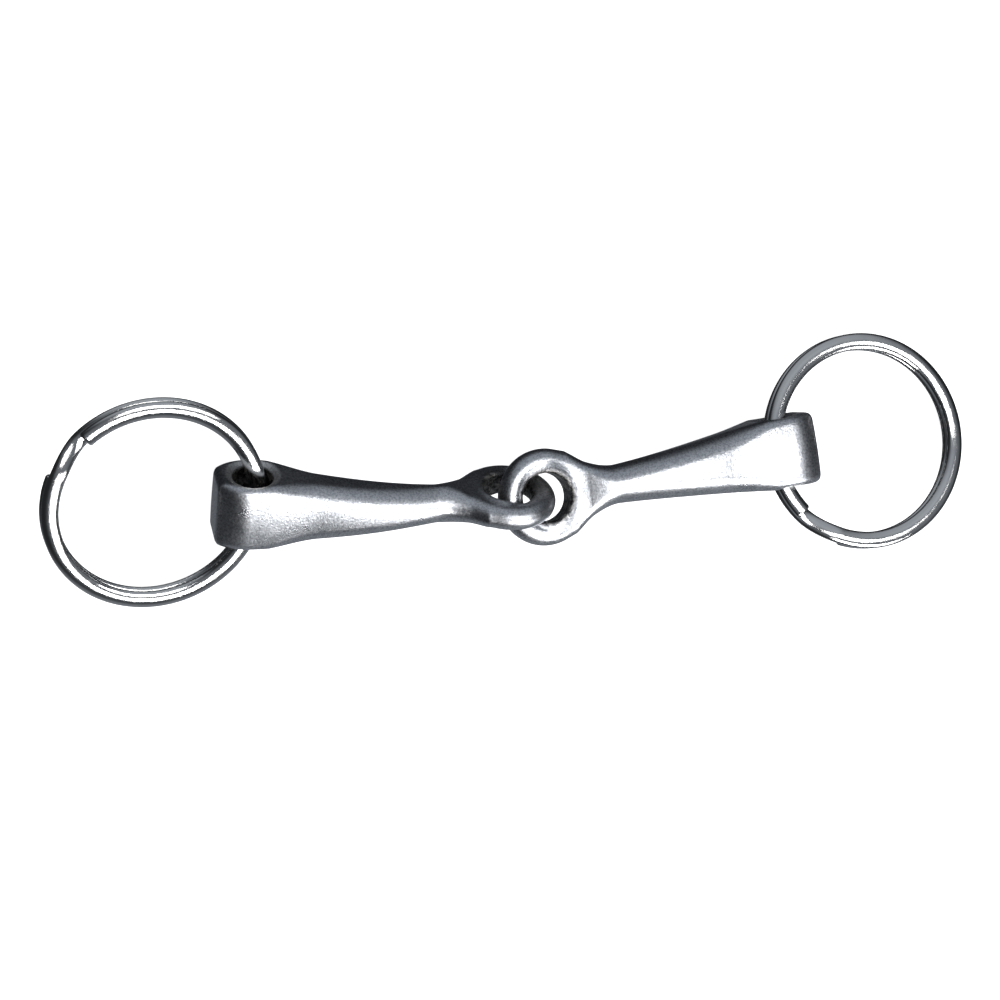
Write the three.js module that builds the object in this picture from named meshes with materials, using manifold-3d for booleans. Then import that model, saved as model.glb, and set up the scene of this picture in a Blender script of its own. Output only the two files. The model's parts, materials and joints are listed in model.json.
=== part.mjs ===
// A small jointed snaffle bit: two tapered cannons whose eyes are linked, each carrying a loose split
// ring in the cross hole of its flared outer end. The bit lies on a flat surface, z = 0, with its
// mouthpiece along X. Everything is in millimetres and degrees, +Z up.
import * as THREE from "three";
import { ParametricGeometry } from "three/addons/geometries/ParametricGeometry.js";
import { mergeVertices } from "three/addons/utils/BufferGeometryUtils.js";
import Module from "manifold-3d";

// Cannon: its own frame has the ring hole's centre at the origin, the hole along Z, the eye out along +X.
const EYE_X = 37.05; // ring hole to eye centre
const EYE_RADIUS = 7; // outside of the eye
const EYE_WIRE = 3.5; // thickness of the round bar that the eye is formed from
const BUTT_END = 5.25; // ring hole to the flat outer end
const BUTT_WIDTH = 9.6;
const BUTT_HEIGHT = 10.5;
const BUTT_PLAN_RADIUS = 6; // in plan the butt's sides curve in to its flat outer end
const BUTT_PLAN_START = -0.7; // from here
const BUTT_END_RADIUS = 0.7; // edge round the flat outer end
const BUTT_CORNER_RADIUS = 1.55; // long edges of the cannon, at the butt
const NECK_CORNER_RADIUS = 2.35; // and at the neck, where they merge into an oval
const SHAFT_WIDTH = 7.6;
const NECK_WIDTH = 5.5;
const NECK_HEIGHT = 5.75;
const TAPER_START = 2.5; // the height tapers from here to the neck
const HEIGHT_TAPER = 1.3; // how much of the height goes early: 1 is straight
const WIDTH_TAPER = 2; // how late the width goes: 1 is straight
const BULB_START = 0.5; // the width draws in from here
const BULB_END = 9.5; // to the shaft, here
const NECK_X = EYE_X - 10.6; // the narrowest place, where the eye starts to flare
const FLARE_TOUCH = 34; // slope of the flare where it meets the eye's circle
const FLARE_SHAPE = 1.7; // how late the flare opens: 1 is straight
const FLARE_THINNED = 0.8; // part of the flare by whose end it is as thin as the eye's bar
const FLARE_OVERLAP = 1.6; // how far the shaft runs on into the eye
const BOW = 1.5; // sideways rise of the cannon's middle line between hole and eye
const HOLE_RADIUS = 2.8;
const SINK_RADIUS = 3.8; // rounded countersink at both mouths of the ring hole
const SINK_DEPTH = 0.7;

// Split ring: its own frame has the ring's centre at the origin and its axis along Z.
const RING_RADIUS = 16; // outside
const WIRE_WIDTH = 2.5; // across the wire, along the ring's radius
const WIRE_THICKNESS = 1.3; // one coil, along the ring's axis
const WIRE_SQUARENESS = 2.4; // of its crowned section
const COIL_PITCH = 1.38; // between the middles of the two coils
const CROSSING = 25; // arc over which the wire crosses from one coil to the other
const END_GAP = 1.5; // arc left free at each cut end of the wire

// Pose at rest, in degrees.
const LEFT = { yaw: 0.8, pitch: -1.9, roll: -60.1 };
const LEFT_RING = { swivel: 4.1, rise: 5.5, lean: -6.6, spin: 220.5 };
const RIGHT = { yaw: -170.8, pitch: -4, roll: 91 };
const RIGHT_RING = { swivel: 1.6, rise: -3.4, lean: 4.5, spin: 65.5 };
const RING_SEAT = 0.76; // wire's middle line past the hole's axis, so that the ring clears both mouths
const LINK = new THREE.Vector3(0.4, 0.34, 0.19); // left eye's outer bar, from the middle of the right eye

const END_STEPS = 4; // sections round the edge of the flat end
const BUTT_STEPS = 5; // and on to where the butt is widest
const SHAFT_STEPS = 13;
const FLARE_STEPS = 8;
const CORNER_STEPS = 6; // of each long edge
const EYE_STEPS = 32;
const EYE_SIDES = 12;
const HOLE_SIDES = 28;
const SINK_STEPS = 4;
const WIRE_SIDES = 12;
const STEP_ANGLE = 6; // arc of one step along the ring's wire
const WELD = 1e-4;

const { clamp, degToRad, lerp, smoothstep } = THREE.MathUtils;

const wasm = await Module();
wasm.setup();

// A closed three.js geometry as a manifold-3d solid: shared vertices merged, empty triangles left out.
function solidOf(geometry) {
  geometry.deleteAttribute("normal");
  geometry.deleteAttribute("uv");
  const merged = mergeVertices(geometry, WELD);
  const index = merged.index.array;
  const triangles = [];
  for (let i = 0; i < index.length; i += 3) {
    const [a, b, c] = index.slice(i, i + 3);
    if (a !== b && b !== c && c !== a) triangles.push(a, b, c);
  }
  const vertProperties = merged.attributes.position.array;
  const triVerts = new Uint32Array(triangles);
  return new wasm.Manifold(new wasm.Mesh({ numProp: 3, vertProperties, triVerts }));
}

function geometryOf(solid) {
  const { vertProperties, triVerts } = solid.getMesh();
  const geometry = new THREE.BufferGeometry();
  geometry.setAttribute("position", new THREE.BufferAttribute(vertProperties, 3));
  geometry.setIndex(new THREE.BufferAttribute(triVerts, 1));
  geometry.computeVertexNormals();
  return geometry;
}

// A closed skin through the given sections, each a function of the angle round it. Its ends are flat fans.
function skin(sections, sides) {
  const rows = [() => middleOf(sections[0]), ...sections, () => middleOf(sections.at(-1))];
  const rowAt = (v) => rows[Math.round(v * (rows.length - 1))];
  const point = (u, v, target) => target.copy(rowAt(v)(2 * Math.PI * (u % 1)));
  return new ParametricGeometry(point, sides, rows.length - 1);
}

function middleOf(section) {
  return section(0).add(section(Math.PI)).multiplyScalar(0.5);
}

// Length left at a distance from the start of an edge rounded with a radius.
function roundedEnd(length, radius, fromEnd) {
  const inside = Math.max(0, radius - fromEnd);
  return length - radius + Math.sqrt(radius * radius - inside * inside);
}

// Half width, half height and corner radius of the cannon at x, before the eye.
function shaftAt(x) {
  const along = clamp((x - TAPER_START) / (NECK_X - TAPER_START), 0, 1);
  const shaft = lerp(SHAFT_WIDTH, NECK_WIDTH, along ** WIDTH_TAPER);
  const width = lerp(BUTT_WIDTH, shaft, smoothstep(x, BULB_START, BULB_END));
  const height = lerp(NECK_HEIGHT, BUTT_HEIGHT, (1 - along) ** HEIGHT_TAPER);
  const plan = roundedEnd(width / 2, BUTT_PLAN_RADIUS, BUTT_PLAN_RADIUS + x - BUTT_PLAN_START);
  return {
    halfWidth: roundedEnd(plan, BUTT_END_RADIUS, x + BUTT_END),
    halfHeight: roundedEnd(height / 2, BUTT_END_RADIUS, x + BUTT_END),
    corner: lerp(BUTT_CORNER_RADIUS, NECK_CORNER_RADIUS, smoothstep(x, BULB_START, NECK_X)),
  };
}

// Sideways place of the cannon's middle line at x.
function bowAt(x) {
  const along = clamp(x / EYE_X, 0, 1);
  return 4 * BOW * along * (1 - along);
}

function cannonStations(flareEnd) {
  const stations = [];
  for (let i = 0; i <= END_STEPS; i++) {
    stations.push(-BUTT_END + BUTT_END_RADIUS * (1 - Math.cos(((Math.PI / 2) * i) / END_STEPS)));
  }
  const run = (end, steps) => {
    const start = stations.at(-1);
    for (let i = 1; i <= steps; i++) stations.push(lerp(start, end, i / steps));
  };
  run(BUTT_PLAN_START, BUTT_STEPS);
  run(NECK_X, SHAFT_STEPS);
  run(flareEnd + FLARE_OVERLAP, FLARE_STEPS);
  return stations;
}

// A point of a rounded rectangle, given its half sizes, corner radius and the angle round it.
function roundedRectangle(halfY, halfZ, radius, angle) {
  const quarters = (angle / (Math.PI / 2)) * (1 + 1e-9);
  const corner = Math.floor(quarters) % 4;
  const turned = (corner + Math.min(1, (quarters % 1) * (1 + 1 / CORNER_STEPS))) * (Math.PI / 2);
  const sideY = corner === 0 || corner === 3 ? 1 : -1;
  const sideZ = corner < 2 ? 1 : -1;
  const y = sideY * (halfY - radius) + radius * Math.cos(turned);
  return [y, sideZ * (halfZ - radius) + radius * Math.sin(turned)];
}

// The cannon's skin from its outer end to inside the eye, where it widens across the eye's hole and
// thins along it. The bow lies in the plane of the left eye and across that of the right one, and
// with the ring holes parallel the joined mouthpiece curves one way.
function cannonSkin(eyeAxis) {
  const touch = degToRad(90 - FLARE_TOUCH);
  const flareEnd = EYE_X - EYE_RADIUS * Math.cos(touch);
  const flareHalf = EYE_RADIUS * Math.sin(touch);
  const bowed = eyeAxis === "Z" ? -1 : 1;
  const sections = cannonStations(flareEnd).map((x) => {
    const { halfWidth, halfHeight, corner } = shaftAt(x);
    const besideHole = eyeAxis === "Z" ? halfWidth : halfHeight;
    const alongHole = eyeAxis === "Z" ? halfHeight : halfWidth;
    const flare = Math.max(0, (x - NECK_X) / (flareEnd - NECK_X));
    const wide = lerp(besideHole, flareHalf, Math.min(1, flare) ** FLARE_SHAPE);
    const thin = lerp(alongHole, EYE_WIRE / 2, smoothstep(flare, 0, FLARE_THINNED));
    const [halfY, halfZ] = eyeAxis === "Z" ? [wide, thin] : [thin, wide];
    const radius = Math.min(corner, 0.97 * halfY, 0.97 * halfZ);
    return (angle) => {
      const [y, z] = roundedRectangle(halfY, halfZ, radius, angle);
      return new THREE.Vector3(x, y + bowed * bowAt(x), z);
    };
  });
  return skin(sections, 4 * (CORNER_STEPS + 1));
}

// Radius of the eye's inner wall at a height above its middle plane.
function eyeWall(height) {
  const bar = EYE_WIRE / 2;
  return EYE_RADIUS - bar - Math.sqrt(Math.max(0, bar * bar - height * height));
}

// The hole through an eye, waisted because the bar round it is round.
function eyeHole() {
  const bar = EYE_WIRE / 2;
  const profile = [new THREE.Vector2(0, -2 * bar), new THREE.Vector2(EYE_RADIUS - bar, -2 * bar)];
  for (let i = 0; i <= EYE_SIDES; i++) {
    const height = -bar * Math.cos((Math.PI * i) / EYE_SIDES);
    profile.push(new THREE.Vector2(eyeWall(height), height));
  }
  profile.push(new THREE.Vector2(EYE_RADIUS - bar, 2 * bar), new THREE.Vector2(0, 2 * bar));
  return new THREE.LatheGeometry(profile, EYE_STEPS);
}

// The ring hole, straight in the middle with a rounded countersink at both mouths.
function ringHole() {
  const top = BUTT_HEIGHT / 2;
  const flare = SINK_RADIUS - HOLE_RADIUS;
  const upper = [];
  for (let i = 0; i <= SINK_STEPS; i++) {
    const turned = ((Math.PI / 2) * i) / SINK_STEPS;
    const radius = HOLE_RADIUS + flare * (1 - Math.cos(turned));
    upper.push(new THREE.Vector2(radius, top - SINK_DEPTH * (1 - Math.sin(turned))));
  }
  upper.push(new THREE.Vector2(SINK_RADIUS, top + 1), new THREE.Vector2(0, top + 1));
  const lower = upper.map((p) => new THREE.Vector2(p.x, -p.y)).reverse();
  return new THREE.LatheGeometry([...lower, ...upper], HOLE_SIDES).rotateX(Math.PI / 2);
}

// A lathe turns about Y, so this lays its axis along the eye's axis and moves it to the eye.
function atEye(geometry, eyeAxis) {
  if (eyeAxis === "Z") geometry.rotateX(Math.PI / 2);
  return geometry.translate(EYE_X, 0, 0);
}

function cannon(eyeAxis) {
  const bar = EYE_WIRE / 2;
  const section = new THREE.Path().absarc(EYE_RADIUS - bar, 0, bar, 0, 2 * Math.PI).getPoints(EYE_SIDES);
  const eye = solidOf(atEye(new THREE.LatheGeometry(section, EYE_STEPS), eyeAxis));
  const body = solidOf(cannonSkin(eyeAxis)).subtract(solidOf(atEye(eyeHole(), eyeAxis)));
  return geometryOf(body.add(eye).subtract(solidOf(ringHole())));
}

// The flattened wire's crowned section. A narrow flat lies at each end of its width and thickness.
function wireSection(angle) {
  const power = 2 / WIRE_SQUARENESS;
  const halfStep = Math.PI / WIRE_SIDES;
  const crown = (wave) => (Math.sign(wave) * Math.abs(wave) ** power) / Math.cos(halfStep) ** power;
  return {
    along: (WIRE_WIDTH / 2) * crown(Math.cos(angle + halfStep)),
    up: (WIRE_THICKNESS / 2) * crown(Math.sin(angle + halfStep)),
  };
}

// Height of the wire's middle at a turn, counted from the end of the crossing on the lower coil.
function coilHeight(turn) {
  return lerp(-COIL_PITCH / 2, COIL_PITCH / 2, smoothstep(turn, 360 - CROSSING, 360));
}

function splitRing() {
  const middle = RING_RADIUS - WIRE_WIDTH / 2;
  const first = END_GAP;
  const last = 720 - CROSSING - END_GAP;
  const steps = Math.ceil((last - first) / STEP_ANGLE);
  const sections = Array.from({ length: steps + 1 }, (_, i) => {
    const turn = lerp(first, last, i / steps);
    const outward = new THREE.Vector3(Math.cos(degToRad(turn)), Math.sin(degToRad(turn)), 0);
    return (angle) => {
      const { along, up } = wireSection(angle);
      const point = outward.clone().multiplyScalar(middle + along);
      point.z = coilHeight(turn) - up;
      return point;
    };
  });
  return geometryOf(solidOf(skin(sections, WIRE_SIDES)));
}

const steel = new THREE.MeshStandardMaterial({ color: 0xb9babd, roughness: 0.32, metalness: 1 });
const plate = new THREE.MeshStandardMaterial({ color: 0xd4d6da, roughness: 0.1, metalness: 1 });

function named(name, geometry, material) {
  const mesh = new THREE.Mesh(geometry, material);
  mesh.name = name;
  return mesh;
}

// A ring threads its cannon's hole: swivel turns it about the hole, rise slides it along the hole,
// lean tips it sideways within the hole's clearance, and spin says where on it the cut ends are.
function threaded(mesh, { swivel, rise, lean, spin }) {
  const reach = RING_RADIUS - WIRE_WIDTH / 2 - RING_SEAT;
  const swivelled = new THREE.Group();
  const leaning = new THREE.Group();
  swivelled.rotation.set(0, degToRad(rise), degToRad(swivel), "ZYX");
  leaning.rotation.x = degToRad(lean - 90);
  leaning.position.x = -reach;
  mesh.rotation.z = degToRad(spin);
  swivelled.add(leaning.add(mesh));
  return swivelled;
}

function half(cannonMesh, ring, { yaw, pitch, roll }) {
  const group = new THREE.Group();
  group.rotation.set(degToRad(roll), degToRad(pitch), degToRad(yaw), "ZYX");
  group.add(cannonMesh, ring);
  return group;
}

const leftRing = threaded(named("left_ring", splitRing(), plate), LEFT_RING);
const rightRing = threaded(named("right_ring", splitRing(), plate), RIGHT_RING);
const left = half(named("left_cannon", cannon("Z"), steel), leftRing, LEFT);
const right = half(named("right_cannon", cannon("Y"), steel), rightRing, RIGHT);

// The outer bar of the left eye stands in the hole of the right eye.
const rightEye = new THREE.Vector3(EYE_X, 0, 0).add(LINK).applyEuler(right.rotation);
const leftBar = new THREE.Vector3(EYE_X + EYE_RADIUS - EYE_WIRE / 2, 0, 0).applyEuler(left.rotation);
left.position.subVectors(rightEye, leftBar);

const bit = new THREE.Group().add(left, right);
bit.updateMatrixWorld(true);
const box = new THREE.Box3().setFromObject(bit, true);
bit.position.set(-(box.min.x + box.max.x) / 2, -(box.min.y + box.max.y) / 2, -box.min.z);

export default bit;
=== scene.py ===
"""A small jointed snaffle bit lying on a pale studio floor: two cast cannons and two split rings."""
import json
from math import cos, hypot, pi, radians, sin

import bmesh
import bpy
import numpy as np
from mathutils import Matrix, Vector


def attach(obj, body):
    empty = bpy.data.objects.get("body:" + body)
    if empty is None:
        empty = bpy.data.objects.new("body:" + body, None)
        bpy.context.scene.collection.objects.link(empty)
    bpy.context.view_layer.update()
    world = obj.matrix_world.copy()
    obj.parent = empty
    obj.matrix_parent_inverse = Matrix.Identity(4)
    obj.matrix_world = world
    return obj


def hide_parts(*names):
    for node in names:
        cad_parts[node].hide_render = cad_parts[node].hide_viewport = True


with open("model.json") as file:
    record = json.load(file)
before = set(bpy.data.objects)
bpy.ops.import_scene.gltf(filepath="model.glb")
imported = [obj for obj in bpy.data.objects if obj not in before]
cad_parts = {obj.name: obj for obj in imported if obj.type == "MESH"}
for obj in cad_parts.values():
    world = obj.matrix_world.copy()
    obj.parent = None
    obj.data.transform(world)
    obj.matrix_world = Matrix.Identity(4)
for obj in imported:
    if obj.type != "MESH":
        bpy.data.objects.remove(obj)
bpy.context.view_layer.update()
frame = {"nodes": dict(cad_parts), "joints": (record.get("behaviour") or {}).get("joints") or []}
JOINTS = {joint["name"]: joint for joint in frame["joints"]}

MM = 0.001

# Cannon, in millimetres, in its own frame: the ring hole's centre is the origin, Z runs along the
# hole and +X towards the eye.
EYE_X = 37.05
EYE_RADIUS = 7.0
EYE_BAR = 1.75  # radius of the eye's round section
EYE_HOLE_RADIUS = EYE_RADIUS - 2 * EYE_BAR
EYE_FILLET = 0.9
EYE_HOLE_EDGE = 0.6
BUTT_END = 5.25
BUTT_HALF_WIDTH = 4.8
BUTT_HALF_HEIGHT = 5.25
BUTT_PLAN_RADIUS = 6.0  # the sides curve in to the flat end
BUTT_PLAN_START = -0.7
PLAN_ARC_LIMIT = 0.98  # of the plan radius, where the sides' arc stops
BUTT_CREASE_RADIUS = 0.4
BUTT_CORNER_RADIUS = 1.3
SHAFT_CORNER_RADIUS = 2.7
CORNER_LIMIT = 0.97  # of the smaller half size, so that a section's corners never meet
SHAFT_HALF_WIDTH = 4.0
NECK_HALF_WIDTH = 2.75
NECK_HALF_HEIGHT = 2.875
NECK_X = EYE_X - 10.6
TAPER_START = 2.5
HEIGHT_TAPER = 1.3  # how much of the height goes early: 1 is straight
WIDTH_TAPER = 2.0  # how late the width goes: 1 is straight
CROWN = 0.4  # how far the wide faces round away to their edges
BULB = (0.5, 9.5)  # where the width draws in
FLARE_ANGLE = radians(56)  # round the eye, of the place where the flare meets it
FLARE_SHAPE = 1.7  # how late the flare widens: 1 is straight
FLARE_THINS = (0.1, 1.4)  # where the flare thins to an end buried in the eye
FLARE_END = 1.05
FLARE_OVERLAP = 3.2  # how far the flare reaches into the eye
FLARE_END_EDGE = 0.5
LAND_RADIUS = 4.9  # of the flat band round the eye's hole
LAND_HALF = (2.0, 1.0)  # its half thickness at the shaft and at the eye's outer end
LAND_THINS = (EYE_X - 1.5, EYE_X + 2.5)
LAND_EDGE = 0.8
LAND_FILLET = 0.6
BOW = 1.5
HOLE_RADIUS = 2.8
HOLE_EDGE = 0.15
SINK_RADIUS = 3.85
SINK_DEPTH = 0.65
SINK_EDGE = 0.25
PARTING_LINE = (25.0, 33.5)
PARTING_RISE = 3.0
PARTING_HEIGHT = 0.07
PARTING_WIDTH = 0.16
CELL = 0.22  # of the grid that finds a cannon's surface
GRID_MARGIN = 0.8
RELAX_ROUNDS = 3
NEWTON_STEPS = 3

# Split ring, in millimetres.
RING_MIDDLE = 14.75
WIRE_HALF_WIDTH = 1.25
WIRE_HALF_THICKNESS = 0.65
WIRE_SQUARENESS = 1.9  # the exponent of its section: 2 is an ellipse
WIRE_SIDES = 40
HALF_PITCH = 0.69
CROSSING = radians(25)
END_GAP = radians(1.5)
WIRE_STEP = radians(1)
END_BEVEL = 0.9  # of the section, at the wire's two cut ends
UV_SIDE_STEP = 0.35  # wider than a side really is, which makes the drawn lines finer
FIT_MARGINS = np.geomspace(0.5, 0.04, 16)  # from the CAD ring's surface, coarse to fine

# Camera, from the photographed side, and studio, in metres.
CAMERA_AZIMUTH = radians(-103.2)
CAMERA_ELEVATION = radians(74.3)
CAMERA_DISTANCE = 0.502
CAMERA_AIM = Vector((-0.00132, -0.00494, -0.00038))
CAMERA_LENS = 124.25

FLOOR_SIZE = 4
SOFTBOX_DISTANCE = 0.8
PICTURE_UP = Vector((0, 1, 0))


# --- Camera, floor and light -------------------------------------------------------------------


def towards(azimuth, elevation):
    flat = cos(elevation)
    return Vector((sin(azimuth) * flat, -cos(azimuth) * flat, sin(elevation)))


def axes_matrix(x, y, z, origin):
    matrix = Matrix((x, y, z)).transposed().to_4x4()
    matrix.translation = origin
    return matrix


def facing(origin, back, up):
    """A matrix whose -Z looks along -back and whose Y is as near up as it can be."""
    back = back.normalized()
    right = up.cross(back).normalized()
    return axes_matrix(right, back.cross(right), back, origin)


def add_camera():
    data = bpy.data.cameras.new("camera")
    data.lens = CAMERA_LENS
    data.clip_start = 0.01
    camera = bpy.data.objects.new("camera", data)
    bpy.context.collection.objects.link(camera)
    back = towards(CAMERA_AZIMUTH, CAMERA_ELEVATION)
    camera.matrix_world = facing(CAMERA_AIM + back * CAMERA_DISTANCE, back, PICTURE_UP)
    bpy.context.scene.camera = camera


def add_softbox(name, aim, back, size, strength):
    """An area light of a stated radiance, so that its reflection has the same brightness anywhere."""
    data = bpy.data.lights.new(name, "AREA")
    data.shape = "RECTANGLE"
    data.size, data.size_y = size
    data.energy = strength * pi * size[0] * size[1]
    light = bpy.data.objects.new(name, data)
    bpy.context.collection.objects.link(light)
    light.matrix_world = facing(aim + back.normalized() * SOFTBOX_DISTANCE, back, PICTURE_UP)


def add_lights():
    bpy.context.scene.view_settings.view_transform = "Standard"
    add_softbox("front", Vector((-0.04, 0, 0)), Vector((0.41, -0.66, 0.63)), (0.70, 0.24), 9.5)
    add_softbox("overhead", Vector((0.04, 0, 0)), Vector((0.24, -0.04, 0.97)), (0.58, 0.26), 7.0)


def add_floor():
    bpy.ops.mesh.primitive_plane_add(size=FLOOR_SIZE)
    floor = bpy.context.object
    floor.name = "floor"
    floor.data.materials.append(floor_paint())
    floor.visible_glossy = False


# --- Materials -----------------------------------------------------------------------------------


class Nodes:
    """Short forms for building a node tree."""

    def __init__(self, tree):
        self.tree = tree
        tree.nodes.clear()

    def add(self, kind, inputs=None, **settings):
        node = self.tree.nodes.new(kind)
        for name, value in settings.items():
            setattr(node, name, value)
        for name, value in (inputs or {}).items():
            socket = node.inputs[name]
            if isinstance(value, bpy.types.NodeSocket):
                self.tree.links.new(value, socket)
            else:
                socket.default_value = value
        return node

    def math(self, operation, *values):
        return self.add("ShaderNodeMath", dict(enumerate(values)), operation=operation).outputs[0]

    def dot(self, vector, direction):
        inputs = {0: vector, 1: Vector(direction).normalized()}
        return self.add("ShaderNodeVectorMath", inputs, operation="DOT_PRODUCT").outputs["Value"]

    def noise(self, vector, scale, detail=3.0, roughness=0.6):
        inputs = {"Vector": vector, "Scale": scale, "Detail": detail, "Roughness": roughness}
        return self.add("ShaderNodeTexNoise", inputs).outputs["Fac"]

    def remap(self, value, low, high, to_low, to_high):
        inputs = {"Value": value, 1: low, 2: high, 3: to_low, 4: to_high}
        return self.add("ShaderNodeMapRange", inputs, interpolation_type="SMOOTHSTEP").outputs[0]

    def mix(self, factor, a, b):
        inputs = {"Factor": factor, "A": a, "B": b}
        return self.add("ShaderNodeMix", inputs, data_type="FLOAT").outputs[0]

    def colours(self, factor, a, b):
        node = self.add("ShaderNodeMix", {0: factor, 6: a, 7: b}, data_type="RGBA")
        return node.outputs[2]

    def bump(self, height, distance, normal=None):
        inputs = {"Height": height, "Distance": distance, "Strength": 1.0}
        if normal is not None:
            inputs["Normal"] = normal
        return self.add("ShaderNodeBump", inputs).outputs[0]


def material(name):
    made = bpy.data.materials.new(name)
    made.use_nodes = True
    return made, Nodes(made.node_tree)


def finish_material(nodes, shader):
    nodes.add("ShaderNodeOutputMaterial", {"Surface": shader.outputs[0]})


def floor_paint():
    made, nodes = material("pale_floor")
    where = nodes.add("ShaderNodeTexCoord").outputs["Object"]
    tone = nodes.noise(where, 6.0)
    colour = nodes.colours(tone, (0.86, 0.86, 0.86, 1), (0.89, 0.89, 0.88, 1))
    inputs = {
        "Base Color": colour,
        "Roughness": 0.9,
        "Emission Color": (1, 1, 1, 1),
        "Emission Strength": 0.95,
    }
    finish_material(nodes, nodes.add("ShaderNodeBsdfPrincipled", inputs))
    return made


def cast_steel():
    """Satin cast steel: tumbled smooth outside, with grain, and left rough inside its holes, where a
    painted shade darkens the colour nearly to black.
    """
    made, nodes = material("cast_steel")
    where = nodes.add("ShaderNodeTexCoord").outputs["Object"]
    rough_cast_and_shade = nodes.add("ShaderNodeAttribute", attribute_name="rough_cast_and_shade").outputs["Fac"]
    machined = nodes.add("ShaderNodeAttribute", attribute_name="machined").outputs["Fac"]
    grain = nodes.noise(where, 3200.0, 3.0, 0.75)
    waves = nodes.noise(where, 300.0, 2.0, 0.5)
    lumps = nodes.noise(where, 1400.0, 3.0, 0.7)
    blotches = nodes.noise(where, 160.0, 3.0, 0.6)
    waved = nodes.bump(waves, 0.00003)
    grained = nodes.bump(grain, 0.000045, normal=waved)
    normal = nodes.bump(nodes.math("MULTIPLY", lumps, rough_cast_and_shade), 0.0004, normal=grained)
    clean = nodes.colours(blotches, (0.62, 0.63, 0.66, 1), (0.70, 0.71, 0.73, 1))
    specks = nodes.remap(grain, 0.36, 0.60, 0.0, 1.0)
    # Painted shade: the inner walls of the eye and of the ring hole get a nearly black colour, 0.05 to
    # 0.30 in mottled patches, darker than their rough cast steel.
    shade_mottle = nodes.remap(lumps, 0.40, 0.62, 0.0, 1.0)
    speckled = nodes.colours(specks, (0.40, 0.41, 0.44, 1), clean)
    scale = nodes.colours(shade_mottle, (0.05, 0.048, 0.045, 1), (0.30, 0.29, 0.28, 1))
    cut = nodes.colours(specks, (0.62, 0.62, 0.63, 1), (0.95, 0.95, 0.94, 1))
    colour = nodes.colours(rough_cast_and_shade, nodes.colours(machined, speckled, cut), scale)
    satin = nodes.remap(blotches, 0.3, 0.7, 0.27, 0.33)
    inputs = {
        "Base Color": colour,
        "Metallic": 1.0,
        "Roughness": nodes.mix(rough_cast_and_shade, nodes.mix(machined, satin, 0.42), 0.4),
        "Normal": normal,
    }
    finish_material(nodes, nodes.add("ShaderNodeBsdfPrincipled", inputs))
    return made


def bright_nickel():
    """Plated spring wire: a mirror with faint lines drawn along the wire and a few dull smears."""
    made, nodes = material("bright_nickel")
    wire = nodes.add("ShaderNodeUVMap", uv_map="wire").outputs[0]
    drawn = nodes.add("ShaderNodeMapping", {"Vector": wire, "Scale": (0.25, 9.0, 1.0)}).outputs[0]
    where = nodes.add("ShaderNodeTexCoord").outputs["Object"]
    lines = nodes.noise(drawn, 2.2, 4.0, 0.7)
    smears = nodes.noise(where, 260.0, 3.0, 0.6)
    dents = nodes.noise(where, 330.0, 1.0, 0.5)
    colour = nodes.colours(smears, (0.64, 0.64, 0.66, 1), (0.74, 0.73, 0.70, 1))
    normal = nodes.bump(lines, 0.000006, normal=nodes.bump(dents, 0.00004))
    inputs = {
        "Base Color": colour,
        "Metallic": 1.0,
        "Roughness": nodes.remap(smears, 0.35, 0.75, 0.05, 0.13),
        "Normal": normal,
    }
    finish_material(nodes, nodes.add("ShaderNodeBsdfPrincipled", inputs))
    return made


def light_surroundings():
    """A dark studio with a grey ceiling, a pale bounce from the front floor and a grey back wall."""
    world = bpy.data.worlds.new("studio")
    bpy.context.scene.world = world
    world.use_nodes = True
    nodes = Nodes(world.node_tree)
    direction = nodes.add("ShaderNodeTexCoord").outputs["Generated"]
    ceiling = nodes.remap(nodes.dot(direction, (0.38, -0.25, 0.9)), 0.5, 0.95, 0.025, 0.22)
    floor = nodes.remap(nodes.dot(direction, (0.25, -0.65, -0.7)), 0.3, 0.9, 0.0, 0.26)
    wall = nodes.remap(nodes.dot(direction, (0.05, 0.78, 0.62)), 0.6, 0.97, 0.0, 0.42)
    radiance = nodes.math("ADD", nodes.math("ADD", ceiling, floor), wall)
    inputs = {"Color": (0.84, 0.91, 1.0, 1), "Strength": radiance}
    background = nodes.add("ShaderNodeBackground", inputs)
    nodes.add("ShaderNodeOutputWorld", {"Surface": background.outputs[0]})


# --- Implicit surfaces -----------------------------------------------------------------------------


def smoothstep(x, low, high):
    t = np.clip((x - low) / (high - low), 0, 1)
    return t * t * (3 - 2 * t)


def lerp(a, b, t):
    return a + (b - a) * t


def rounded_and(a, b, radius):
    """Where both fields are negative, with their shared edge rounded."""
    outside = np.hypot(np.maximum(a + radius, 0), np.maximum(b + radius, 0))
    return np.minimum(-radius, np.maximum(a, b)) + outside


def filleted_or(a, b, radius):
    """Where either field is negative, with a fillet where they meet."""
    return -rounded_and(-a, -b, radius)


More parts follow.
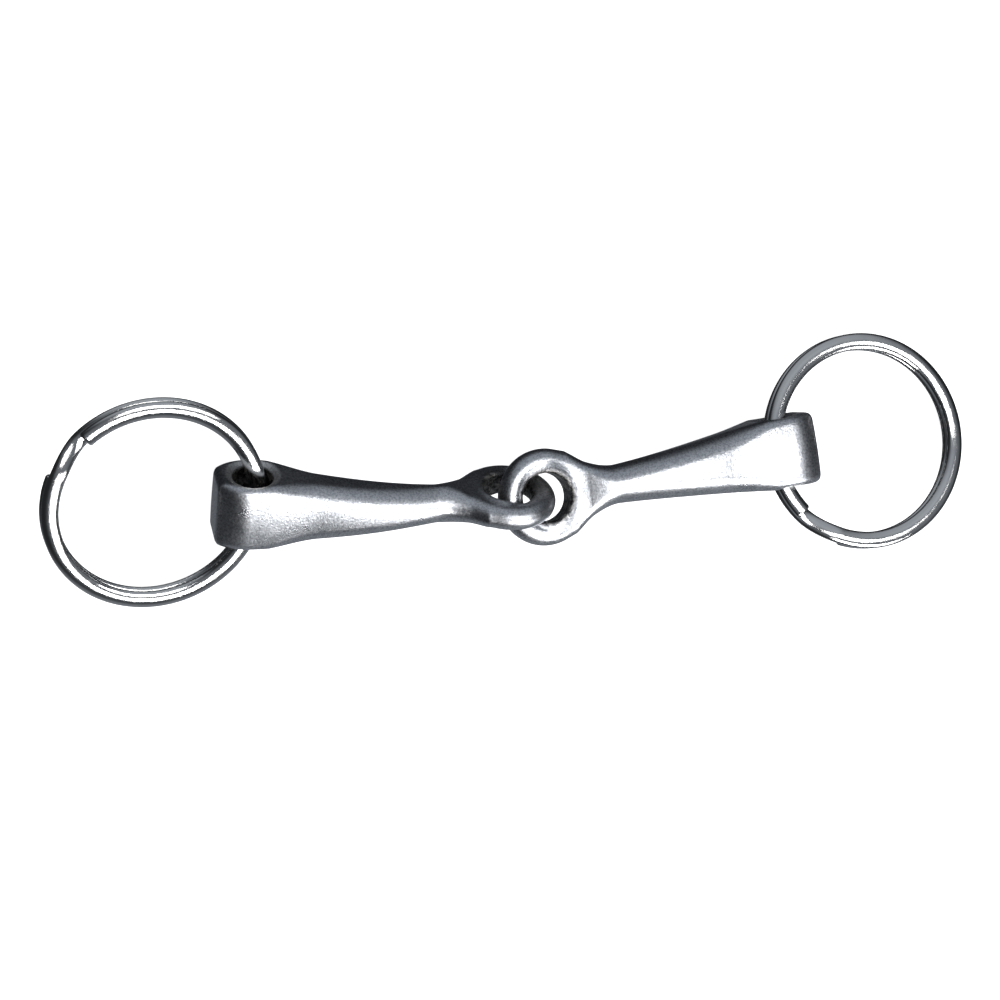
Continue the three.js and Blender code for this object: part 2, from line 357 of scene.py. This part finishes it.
def shaft_section(x, eye_axis):
    """Half width, half height and corner radius of the shaft, which flares out to meet the eye."""
    bulb = smoothstep(x, *BULB)
    along = np.clip((x - TAPER_START) / (NECK_X - TAPER_START), 0, 1)
    shaft = lerp(SHAFT_HALF_WIDTH, NECK_HALF_WIDTH, along**WIDTH_TAPER)
    along_arc = np.clip(BUTT_PLAN_START - x, 0, PLAN_ARC_LIMIT * BUTT_PLAN_RADIUS)
    draw = BUTT_PLAN_RADIUS - np.sqrt(BUTT_PLAN_RADIUS**2 - along_arc**2)
    width = lerp(BUTT_HALF_WIDTH, shaft, bulb) - draw
    height = lerp(NECK_HALF_HEIGHT, BUTT_HALF_HEIGHT, (1 - along) ** HEIGHT_TAPER)
    flare = np.maximum(0, (x - NECK_X) / (EYE_X - EYE_RADIUS * cos(FLARE_ANGLE) - NECK_X))
    across_eye, along_eye = (width, height) if eye_axis == "Z" else (height, width)
    wide = lerp(across_eye, EYE_RADIUS * sin(FLARE_ANGLE), np.minimum(flare, 1) ** FLARE_SHAPE)
    thin = lerp(along_eye, FLARE_END, smoothstep(flare, *FLARE_THINS))
    half_y, half_z = (wide, thin) if eye_axis == "Z" else (thin, wide)
    corner = lerp(BUTT_CORNER_RADIUS, SHAFT_CORNER_RADIUS, bulb)
    return half_y, half_z, np.minimum(corner, np.minimum(half_y, half_z) * CORNER_LIMIT)


def split_at_eye(x, y, z, eye_axis):
    """Distance from the eye's axis, and height along it."""
    side, along = (y, z) if eye_axis == "Z" else (z, y)
    return np.hypot(x - EYE_X, side), along


def bow_at(x, eye_axis):
    """Sideways place of the cannon's middle line."""
    along = np.clip(x / EYE_X, 0, 1)
    return (-1 if eye_axis == "Z" else 1) * 16 * BOW * (along * (1 - along)) ** 2


def cannon_field(eye_axis):
    """The casting's implicit surface: a function that is negative inside it."""
    shaft_end = EYE_X - EYE_RADIUS * cos(FLARE_ANGLE) + FLARE_OVERLAP

    def field(points):
        x, y, z = np.moveaxis(points, -1, 0)
        half_y, half_z, corner = shaft_section(x, eye_axis)
        end = -BUTT_END - x
        aside = np.abs(y - bow_at(x, eye_axis)) + CROWN * np.clip(np.abs(z) / half_z, 0, 1.2) ** 2
        sides = rounded_and(aside - half_y, end, BUTT_CREASE_RADIUS)
        body = rounded_and(sides, np.abs(z) - half_z, corner)
        body = rounded_and(body, x - shaft_end, FLARE_END_EDGE)
        from_axis, along = split_at_eye(x, y, z, eye_axis)
        eye = np.hypot(from_axis - (EYE_RADIUS - EYE_BAR), along) - EYE_BAR
        land_half = lerp(*LAND_HALF, smoothstep(x, *LAND_THINS))
        land = rounded_and(np.abs(along) - land_half, from_axis - LAND_RADIUS, LAND_EDGE)
        body = filleted_or(filleted_or(body, eye, EYE_FILLET), land, LAND_FILLET)
        body = rounded_and(body, EYE_HOLE_RADIUS - from_axis, EYE_HOLE_EDGE)
        rises = smoothstep(x, PARTING_LINE[0], PARTING_LINE[0] + PARTING_RISE)
        ridge = rises * (1 - smoothstep(x, *PARTING_LINE))
        body = body - PARTING_HEIGHT * ridge * np.exp(-((along / PARTING_WIDTH) ** 2))
        body = rounded_and(body, HOLE_RADIUS - np.hypot(x, y), HOLE_EDGE)
        sink_slope = (SINK_RADIUS - HOLE_RADIUS) / SINK_DEPTH
        sink = SINK_RADIUS - (BUTT_HALF_HEIGHT - np.abs(z)) * sink_slope - np.hypot(x, y)
        return rounded_and(body, sink / hypot(1, sink_slope), SINK_EDGE)

    return field


def gradient(field, points, reach=0.01):
    steps = np.eye(3) * reach
    return np.stack([field(points + s) - field(points - s) for s in steps], -1) / (2 * reach)


def surface_net(field, low, high):
    """Points and quads of the field's zero surface, one point in each grid cell that it crosses."""
    axes = [np.arange(a, b + CELL, CELL) for a, b in zip(low, high)]
    grid = np.stack(np.meshgrid(*axes, indexing="ij"), -1)
    inside = field(grid) < 0
    count = sum(
        inside[i : i - 1 or None, j : j - 1 or None, k : k - 1 or None].astype(np.int8)
        for i in (0, 1)
        for j in (0, 1)
        for k in (0, 1)
    )
    crossed = (count > 0) & (count < 8)
    index = np.full(crossed.shape, -1)
    index[crossed] = np.arange(crossed.sum())
    points = grid[:-1, :-1, :-1][crossed] + CELL / 2
    quads = [edge_quads(inside, index, axis) for axis in range(3)]
    return points, np.concatenate(quads)


def edge_quads(inside, index, axis):
    """The four cells round every grid edge along one axis whose two ends lie on different sides."""
    first = np.moveaxis(inside, axis, 0)
    cells = np.moveaxis(index, axis, 0)
    low, high = first[:-1, 1:-1, 1:-1], first[1:, 1:-1, 1:-1]
    ring = [cells[:, :-1, :-1], cells[:, 1:, :-1], cells[:, 1:, 1:], cells[:, :-1, 1:]]
    outwards, inwards = low & ~high, high & ~low
    forward = np.stack([c[outwards] for c in ring], -1)
    backward = np.stack([c[inwards] for c in ring[::-1]], -1)
    quads = np.concatenate([forward, backward])
    return quads[:, ::-1] if axis == 1 else quads


def onto_surface(field, points):
    """Each point moved down the field's slope to where the field is zero."""
    for _ in range(NEWTON_STEPS):
        slope = gradient(field, points)
        step = field(points)[:, None] * slope / np.maximum((slope**2).sum(-1, keepdims=True), 0.05)
        points = points - np.clip(step, -CELL / 2, CELL / 2)
    return points


def relaxed(points, quads):
    """Each point moved halfway to the mean of its neighbours."""
    total = np.zeros_like(points)
    count = np.zeros(len(points))
    for a, b in ((0, 1), (1, 2), (2, 3), (3, 0)):
        for start, end in ((a, b), (b, a)):
            np.add.at(total, quads[:, start], points[quads[:, end]])
            np.add.at(count, quads[:, start], 1)
    return (points + total / count[:, None]) / 2


def mesh_object(name, points, faces, place, finish):
    """A smooth-shaded mesh of points in millimetres, put in place by a matrix in metres."""
    mesh = bpy.data.meshes.new(name)
    mesh.from_pydata((points * MM).tolist(), [], faces.tolist())
    mesh.transform(place)
    mesh.shade_smooth()
    mesh.materials.append(finish)
    made = bpy.data.objects.new(name, mesh)
    bpy.context.collection.objects.link(made)
    return made


# --- Pieces ----------------------------------------------------------------------------------------


def cannon_places():
    """The frame of each cannon, from the joints at its two ends."""
    fold = JOINTS["mouthpiece_fold"]
    pin, eye_axis = Vector(fold["pos_m"]), Vector(fold["axis"]).normalized()
    left, right = JOINTS["left_ring_swivel"], JOINTS["right_ring_swivel"]
    left_z, left_hole = Vector(left["axis"]).normalized(), Vector(left["pos_m"])
    left_x = pin - left_hole
    left_x = (left_x - left_z * left_x.dot(left_z)).normalized()
    right_z, right_hole = Vector(right["axis"]).normalized(), Vector(right["pos_m"])
    right_x = eye_axis.cross(right_z).normalized()
    return {
        "left_cannon": axes_matrix(left_x, left_z.cross(left_x), left_z, left_hole),
        "right_cannon": axes_matrix(right_x, right_z.cross(right_x), right_z, right_hole),
    }


def rough_cast_and_shade_amount(points, eye_axis):
    """1 on the unpolished inner walls of the eye and of the ring hole, which are rough and get a painted
    shade, and 0 on the polished outside.
    """
    x, y, z = points.T
    from_eye, _ = split_at_eye(x, y, z, eye_axis)
    in_eye = 1 - smoothstep(from_eye, EYE_HOLE_RADIUS + 0.1, EYE_HOLE_RADIUS + 1.1)
    in_hole = 1 - smoothstep(np.hypot(x, y), HOLE_RADIUS + 0.05, HOLE_RADIUS + 0.3)
    return np.maximum(in_eye, in_hole)


def machined_amount(points):
    """1 on the countersinks of the ring hole."""
    from_axis = np.hypot(points[:, 0], points[:, 1])
    inside = smoothstep(from_axis, HOLE_RADIUS, HOLE_RADIUS + 0.2)
    return inside * (1 - smoothstep(from_axis, SINK_RADIUS, SINK_RADIUS + 0.2))


def add_amount(mesh, name, values):
    mesh.attributes.new(name, "FLOAT", "POINT").data.foreach_set("value", values.astype(np.float32))


def build_cannon(name, body, eye_axis, place, finish):
    field = cannon_field(eye_axis)
    low = np.array((-BUTT_END, -EYE_RADIUS, -EYE_RADIUS)) - GRID_MARGIN
    high = np.array((EYE_X + EYE_RADIUS, EYE_RADIUS, EYE_RADIUS)) + GRID_MARGIN
    points, quads = surface_net(field, low, high)
    for _ in range(RELAX_ROUNDS):
        points = onto_surface(field, relaxed(points, quads))
    made = mesh_object(name + "_casting", points, quads, place, finish)
    # This mask also lays the painted shade on the inner walls of the eye and of the ring hole.
    add_amount(made.data, "rough_cast_and_shade", rough_cast_and_shade_amount(points, eye_axis))
    add_amount(made.data, "machined", machined_amount(points))
    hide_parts(name)
    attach(made, body)


def ring_place(node):
    """The frame of a CAD split ring: its middle, its axis as Z, and X to where the wire crosses over.

    It fits the rim and the two faces in turn, to ever closer points. The faces are missing where the
    wire crosses over, so their points lie on average on the other side.
    """
    flat = np.empty(len(frame["nodes"][node].data.vertices) * 3)
    frame["nodes"][node].data.vertices.foreach_get("co", flat)
    points = flat.reshape(-1, 3) / MM
    middle = (points.min(0) + points.max(0)) / 2
    axis = np.linalg.svd(points - middle, full_matrices=False)[2][2]
    outside = RING_MIDDLE + WIRE_HALF_WIDTH
    face = HALF_PITCH + WIRE_HALF_THICKNESS
    for margin in FIT_MARGINS:
        height = (points - middle) @ axis
        spokes = points - middle - height[:, None] * axis
        reach = np.linalg.norm(spokes, axis=1)
        rim = reach > outside - margin
        shift = np.linalg.lstsq(spokes[rim] / reach[rim, None], reach[rim] - outside, rcond=None)[0]
        faces = np.abs(height) > face - margin
        excess = height[faces] - np.sign(height[faces]) * face
        terms = np.hstack([spokes[faces], np.ones((faces.sum(), 1))])
        tilt = np.linalg.lstsq(terms, excess, rcond=None)[0]
        middle = middle + shift + axis * tilt[3]
        axis = axis - tilt[:3]
        axis = axis / np.linalg.norm(axis)
    z = Vector(axis)
    x = -Vector(spokes[faces].mean(0))
    x = (x - z * x.dot(z)).normalized()
    return axes_matrix(x, z.cross(x), z, Vector(middle) * MM)


def wire_outline():
    """The flattened wire's crowned section, counter-clockwise: along the radius, then along the axis."""
    turned = np.linspace(0, 2 * pi, WIRE_SIDES, endpoint=False)
    power = 2 / WIRE_SQUARENESS
    across = np.sign(np.cos(turned)) * np.abs(np.cos(turned)) ** power
    upwards = np.sign(np.sin(turned)) * np.abs(np.sin(turned)) ** power
    return np.stack([WIRE_HALF_WIDTH * across, WIRE_HALF_THICKNESS * upwards], -1)


def wire_path():
    """Angles and heights of the wire's middle line, from one cut end to the other."""
    first = CROSSING / 2 + END_GAP
    last = 4 * pi - CROSSING / 2 - END_GAP
    angles = np.linspace(first, last, round((last - first) / WIRE_STEP) + 1)
    rise = smoothstep(angles, 2 * pi - CROSSING / 2, 2 * pi + CROSSING / 2)
    return angles, lerp(-HALF_PITCH, HALF_PITCH, rise)


def build_ring(node, body, finish):
    outline = wire_outline()
    angles, heights = wire_path()
    bevel = np.ones(len(angles))
    bevel[[0, -1]] = END_BEVEL
    radius = RING_MIDDLE + outline[None, :, 0] * bevel[:, None]
    points = np.stack(
        [
            radius * np.cos(angles)[:, None],
            radius * np.sin(angles)[:, None],
            heights[:, None] + outline[None, :, 1] * bevel[:, None],
        ],
        -1,
    )
    rows, sides = points.shape[:2]
    here = np.arange(rows * sides).reshape(rows, sides)
    aside = np.roll(here, -1, 1)
    quads = np.stack([here[:-1], here[1:], aside[1:], aside[:-1]], -1).reshape(-1, 4)[:, ::-1]
    made = mesh_object(node + "_wire", points.reshape(-1, 3), quads, ring_place(node), finish)
    cap_ends(made.data, here)
    add_wire_uv(made.data, angles, sides)
    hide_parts(node)
    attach(made, body)


def cap_ends(mesh, rows):
    """Flat faces on the wire's first and last rows of points."""
    cut = bmesh.new()
    cut.from_mesh(mesh)
    cut.verts.ensure_lookup_table()
    for row in (rows[0], rows[-1][::-1]):
        face = cut.faces.new([cut.verts[i] for i in row])
        face.smooth = False
    bmesh.ops.recalc_face_normals(cut, faces=cut.faces)
    cut.to_mesh(mesh)
    cut.free()


def add_wire_uv(mesh, angles, sides):
    """The place along the wire, in millimetres, and round it, for the drawn lines."""
    layer = mesh.uv_layers.new(name="wire")
    for loop in mesh.loops:
        row, side = divmod(loop.vertex_index, sides)
        layer.data[loop.index].uv = (angles[row] * RING_MIDDLE, side * UV_SIDE_STEP)


def build_bit():
    steel, nickel = cast_steel(), bright_nickel()
    places = cannon_places()
    build_cannon("left_cannon", "left_half", "Z", places["left_cannon"], steel)
    build_cannon("right_cannon", "right_half", "Y", places["right_cannon"], steel)
    build_ring("left_ring", "left_loose_ring", nickel)
    build_ring("right_ring", "right_loose_ring", nickel)


add_camera()
add_lights()
light_surroundings()
add_floor()
build_bit()
